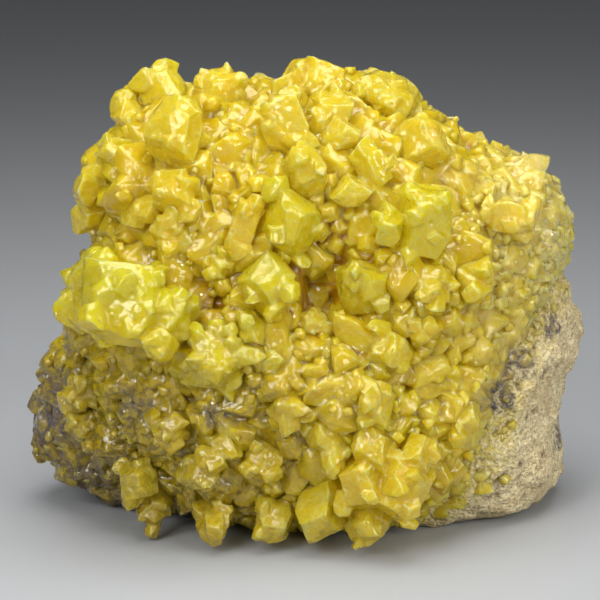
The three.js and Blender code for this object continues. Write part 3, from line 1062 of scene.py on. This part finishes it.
def sulfur(name, bright, body, deep, clear, density=0, cracked=True):
    """A sulfur material: bright where it is cloudy, deep as painted shade at the crystals' roots
    and in hollows.

    clear is the share of light that passes straight through, density how fast blue is lost inside,
    and cracked whether fine cracks show.
    """
    s = Shader(name)
    ripples = s.bump(s.noise(1.6 * MM, 2, 0.6, 1.0), 0.2 * MM, 0.5)
    normal = s.facets(0.9 * MM, 0.36, ripples)
    clouds = s.spread(s.noise(2.8 * MM, 3, 0.65, 1.5), 0.44, 0.72)
    base = s.mix(s.times(clouds, 0.45), body, bright)
    base = s.mix(s.spread(s.attribute("tone"), 0.0, 1.0, 0.0, 0.45), base, s.mix(0.35, body, deep))
    # painted shade: the deep colour at the crystals' roots and in hollows, from the root attribute
    base = s.mix(s.spread(s.attribute("root"), 0.35, 1.0, 0.0, 0.9), base, deep)
    if cracked:
        s.warp(2.5 * MM, 1.8 * MM)
        cracks = s.spread(s.cells(1.5 * MM, "DISTANCE_TO_EDGE"), 0.0, 0.08, 1.0, 0.0)
        base = s.mix(s.times(cracks, s.spread(clouds, 0.0, 0.6, 0.25, 0.8)), base, bright)
    # painted highlight: edges and small faces painted pale
    base = s.mix(s.times(s.attribute("edge"), 0.6), base, EDGE_HIGHLIGHT)
    base = s.dusted(base, 0.9)
    frosted = s.spread(s.attribute("frost"), 0.5, 1.0, 0.03, 0.18)
    if density:
        inside = s.node("ShaderNodeVolumeAbsorption", Color=INNER_TINT, Density=density)
        s.tree.links.new(inside.outputs[0], s.output.inputs["Volume"])
    return s.surface(
        Base_Color=base,
        Roughness=s.maths("ADD", frosted, s.times(clouds, 0.06)),
        IOR=SULFUR_IOR,
        Subsurface_Weight=1.0,
        Subsurface_Radius=SCATTER_RADIUS,
        Subsurface_Scale=MM,
        Transmission_Weight=clear,
        Normal=normal,
    )


def rock_material():
    """Tan rock with grey patches, and under them the marks that the mesh carries."""
    s = Shader("porous_rock")
    patches = s.spread(s.noise(8 * MM, 5, 0.65, 0.6), 0.35, 0.65)
    grains = s.spread(s.noise(0.7 * MM, 4, 0.7), 0.34, 0.66)
    crumbs = s.spread(s.cells(0.6 * MM), 0.0, 0.75)
    specks = s.spread(s.noise(0.5 * MM, 3, 0.6), 0.56, 0.66)
    mottled = s.spread(s.noise(1.4 * MM, 4, 0.7), 0.4, 0.6, 0.25, 1.0)
    base = s.mix(patches, colour(236, 212, 162), colour(254, 238, 190))
    base = s.mix(s.times(grains, 0.5), base, colour(188, 166, 118))
    greyer = s.spread(s.noise(6 * MM, 5, 0.65, 0.8), 0.56, 0.68)
    base = s.mix(s.times(greyer, 0.6), base, colour(150, 136, 118))
    stained = s.spread(s.noise(1.4 * MM, 5, 0.7), 0.4, 0.56, 0.1, 0.9)
    base = s.mix(s.times(s.attribute("stain"), stained), base, colour(214, 192, 78))
    olive = s.spread(s.noise(1.8 * MM, 5, 0.7, 0.5), 0.42, 0.58)
    soil = s.mix(olive, colour(100, 82, 74), colour(146, 128, 54))
    base = s.mix(s.times(s.attribute("dirt"), 0.95), base, soil)
    pebbly = s.mix(crumbs, colour(150, 138, 138), colour(88, 80, 82))
    base = s.mix(s.times(s.attribute("grey"), mottled), base, pebbly)
    base = s.mix(s.times(specks, 0.5), base, colour(150, 118, 76))
    # painted shade: the pores and vugs darker
    base = s.mix(s.times(s.attribute("pore_shade"), 0.7), base, colour(104, 82, 48))
    fine = s.bump(s.noise(0.35 * MM, 4, 0.75), 0.35 * MM, 1.0)
    coarse = s.bump(crumbs, 0.4 * MM, 0.9, fine)
    rough = s.spread(grains, 0.0, 1.0, 0.8, 0.98)
    return s.surface(Base_Color=base, Roughness=rough, Normal=coarse)


def floor_material():
    s = Shader("studio_floor")
    haze = s.spread(s.noise(0.25, 2, 0.5), 0.3, 0.7, 0.46, 0.52)
    base = s.mix(s.noise(0.6, 2, 0.5), colour(166, 168, 170), colour(172, 174, 176))
    return s.surface(Base_Color=base, Roughness=haze, Specular_IOR_Level=0.2)


# ---------------------------------------------------------------------------------------------
# Studio


FLOOR_HALF = 4


def build_floor():
    corners = [(-1, -1, 0), (1, -1, 0), (1, 1, 0), (-1, 1, 0)]
    points = np.array(corners, float) * FLOOR_HALF
    make_object("floor", points, range(4), [4], floor_material())


def area_light(name, spot, size, power):
    """A round light that faces the middle of the specimen."""
    light = bpy.data.lights.new(name, "AREA")
    light.shape = "DISK"
    light.size = size
    light.energy = power
    lamp = bpy.data.objects.new(name, light)
    lamp.location = spot
    aim = Vector((0, 0, 0.5 * SIZE.z)) - Vector(spot)
    lamp.rotation_euler = aim.to_track_quat("-Z", "Y").to_euler()
    bpy.context.scene.collection.objects.link(lamp)


SOFTBOXES = {  # where each is, its width in metres and its power in watts
    "overhead": ((0.0, -0.06, 0.34), 0.3, 1.2),
    "key": ((-0.28, -0.5, 0.34), 0.34, 2.2),
    "fill": ((0.42, -0.42, 0.2), 0.34, 1.7),
}
SPARKS = (  # small lights that show as glints on single faces
    (-0.34, -0.22, 0.30),
    (-0.12, -0.32, 0.42),
    (0.04, -0.46, 0.26),
    (0.20, -0.36, 0.34),
    (0.36, -0.16, 0.28),
    (-0.22, -0.48, 0.12),
)


def build_lights():
    for name, (spot, size, power) in SOFTBOXES.items():
        area_light(name, spot, size, power)
    for number, spot in enumerate(SPARKS):
        area_light(f"spark_{number}", spot, 0.022, 0.12)
    world = bpy.data.worlds.new("studio")
    world.use_nodes = True
    background = world.node_tree.nodes["Background"]
    background.inputs["Color"].default_value = colour(150, 152, 156)
    background.inputs["Strength"].default_value = 0.28
    bpy.context.scene.world = world
    bpy.context.scene.view_settings.view_transform = "Standard"


CAMERA_RISE = math.radians(12)
CAMERA_AWAY = 0.4
FRAME_WIDTH = 0.0954  # what the frame spans at the aim
CAMERA_AIM = Vector((-1.3 * MM, 3.9 * MM, 0.46 * SIZE.z))


def build_camera():
    camera = bpy.data.cameras.new("camera")
    camera.sensor_width = 36
    camera.lens = camera.sensor_width * CAMERA_AWAY / FRAME_WIDTH
    back = Vector((0, -math.cos(CAMERA_RISE), math.sin(CAMERA_RISE)))
    viewer = bpy.data.objects.new("camera", camera)
    viewer.location = CAMERA_AIM + back * CAMERA_AWAY
    viewer.rotation_euler = (-back).to_track_quat("-Z", "Y").to_euler()
    bpy.context.scene.collection.objects.link(viewer)
    bpy.context.scene.camera = viewer


# ---------------------------------------------------------------------------------------------
# Assembly

FROSTED = sulfur(
    "frosted_sulfur",
    bright=colour(252, 242, 130),
    body=colour(250, 224, 42),
    deep=colour(228, 170, 6),
    clear=0.55,
)
CLEAR = sulfur(
    "clear_sulfur",
    bright=colour(253, 246, 120),
    body=colour(254, 236, 36),
    deep=colour(228, 188, 8),
    clear=0.62,
    density=90,
)
DRUSE = sulfur(
    "druse_sulfur",
    bright=colour(252, 238, 112),
    body=colour(245, 215, 34),
    deep=colour(196, 138, 4),
    clear=0.5,
    cracked=False,
)

KINDS = {
    "worn": templates(20, ["block", "brick", "block", "table", "peak"], 0.022),
    "sharp": templates(24, ["brick", "table", "chip", "block"], 0),
}

rock(rock_material())
druse(KINDS, DRUSE)
for crystal in CRYSTAL_NODES:
    if crystal in CLEAR_NODES:
        grown_crystal(crystal, CLEAR, KINDS)
    else:
        grown_crystal(crystal, FROSTED, KINDS)

build_floor()
build_lights()
build_camera()
